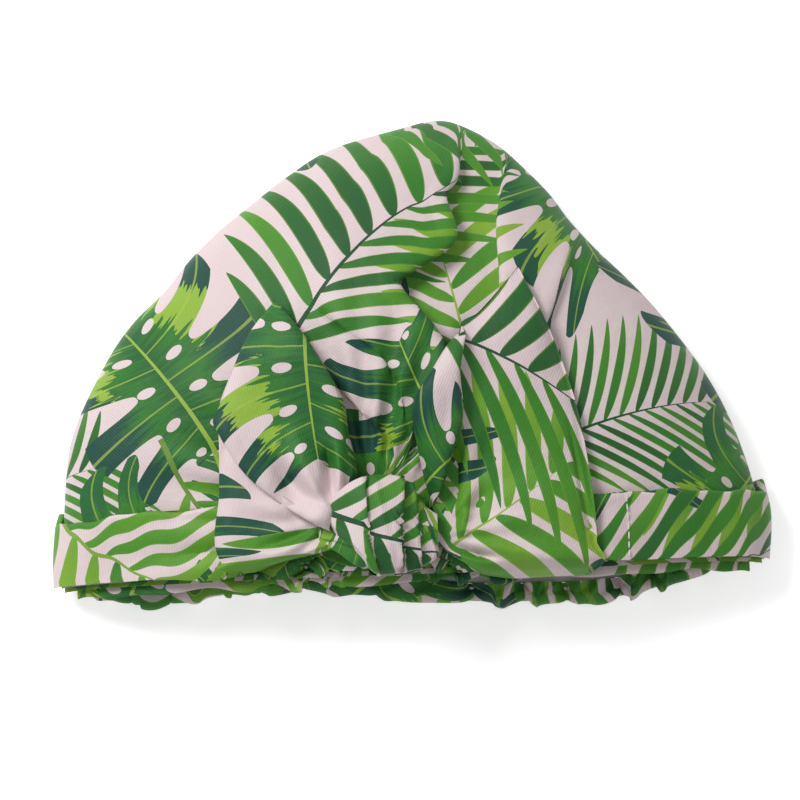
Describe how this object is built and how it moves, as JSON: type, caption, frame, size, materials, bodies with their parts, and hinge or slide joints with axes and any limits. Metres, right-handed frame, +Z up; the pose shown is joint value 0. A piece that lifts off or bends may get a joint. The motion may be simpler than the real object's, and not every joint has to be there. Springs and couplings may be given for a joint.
{
  "type": "turban shower cap",
  "caption": "Turban-style shower cap laid flat: a pleated printed-cloth crown with a waterproof lining, a turned-up cuff, an elastic rear hem and a front knot with pointed tails.",
  "frame": {"origin": "the point of the flat back layer, on the surface that the cap lies on, midway between the cuff's ends and 86 mm above the front hem", "axes": "+X across the cap from its left end to its right end as seen from above, +Y from the hem to the top of the crown, +Z up from the surface that the cap lies on"},
  "size_m": [0.2892, 0.2001, 0.065],
  "materials": {
    "printed_polyester": "fine polyester twill with a soft satin sheen, printed with green palm leaves on pale pink",
    "lining_film": "thin waterproof film, pale and slightly hazy",
    "woven_elastic": "flat woven rubber-cored elastic, white"
  },
  "bodies": {
    "cap": {"crown_shell": "printed_polyester", "crown_lining": "lining_film", "front_cuff": "printed_polyester", "front_hem_facing": "printed_polyester", "rear_casing": "printed_polyester", "rear_elastic": "woven_elastic", "knot_wrap": "printed_polyester", "bow_tie_middle": "printed_polyester"},
    "left_tail": {"bow_tail_left": "printed_polyester"},
    "right_tail": {"bow_tail_right": "printed_polyester"}
  },
  "joints": [
    {"name": "left_tail_lift", "type": "hinge", "parent": "cap", "child": "left_tail", "pos_m": [-0.045, -0.078, 0.04433], "axis": [0.3022, 0.9402, 0.1574], "range_deg": [0, 80]},
    {"name": "right_tail_lift", "type": "hinge", "parent": "cap", "child": "right_tail", "pos_m": [0.016, -0.08, 0.04522], "axis": [0.1761, -0.9687, -0.175], "range_deg": [0, 80]}
  ]
}
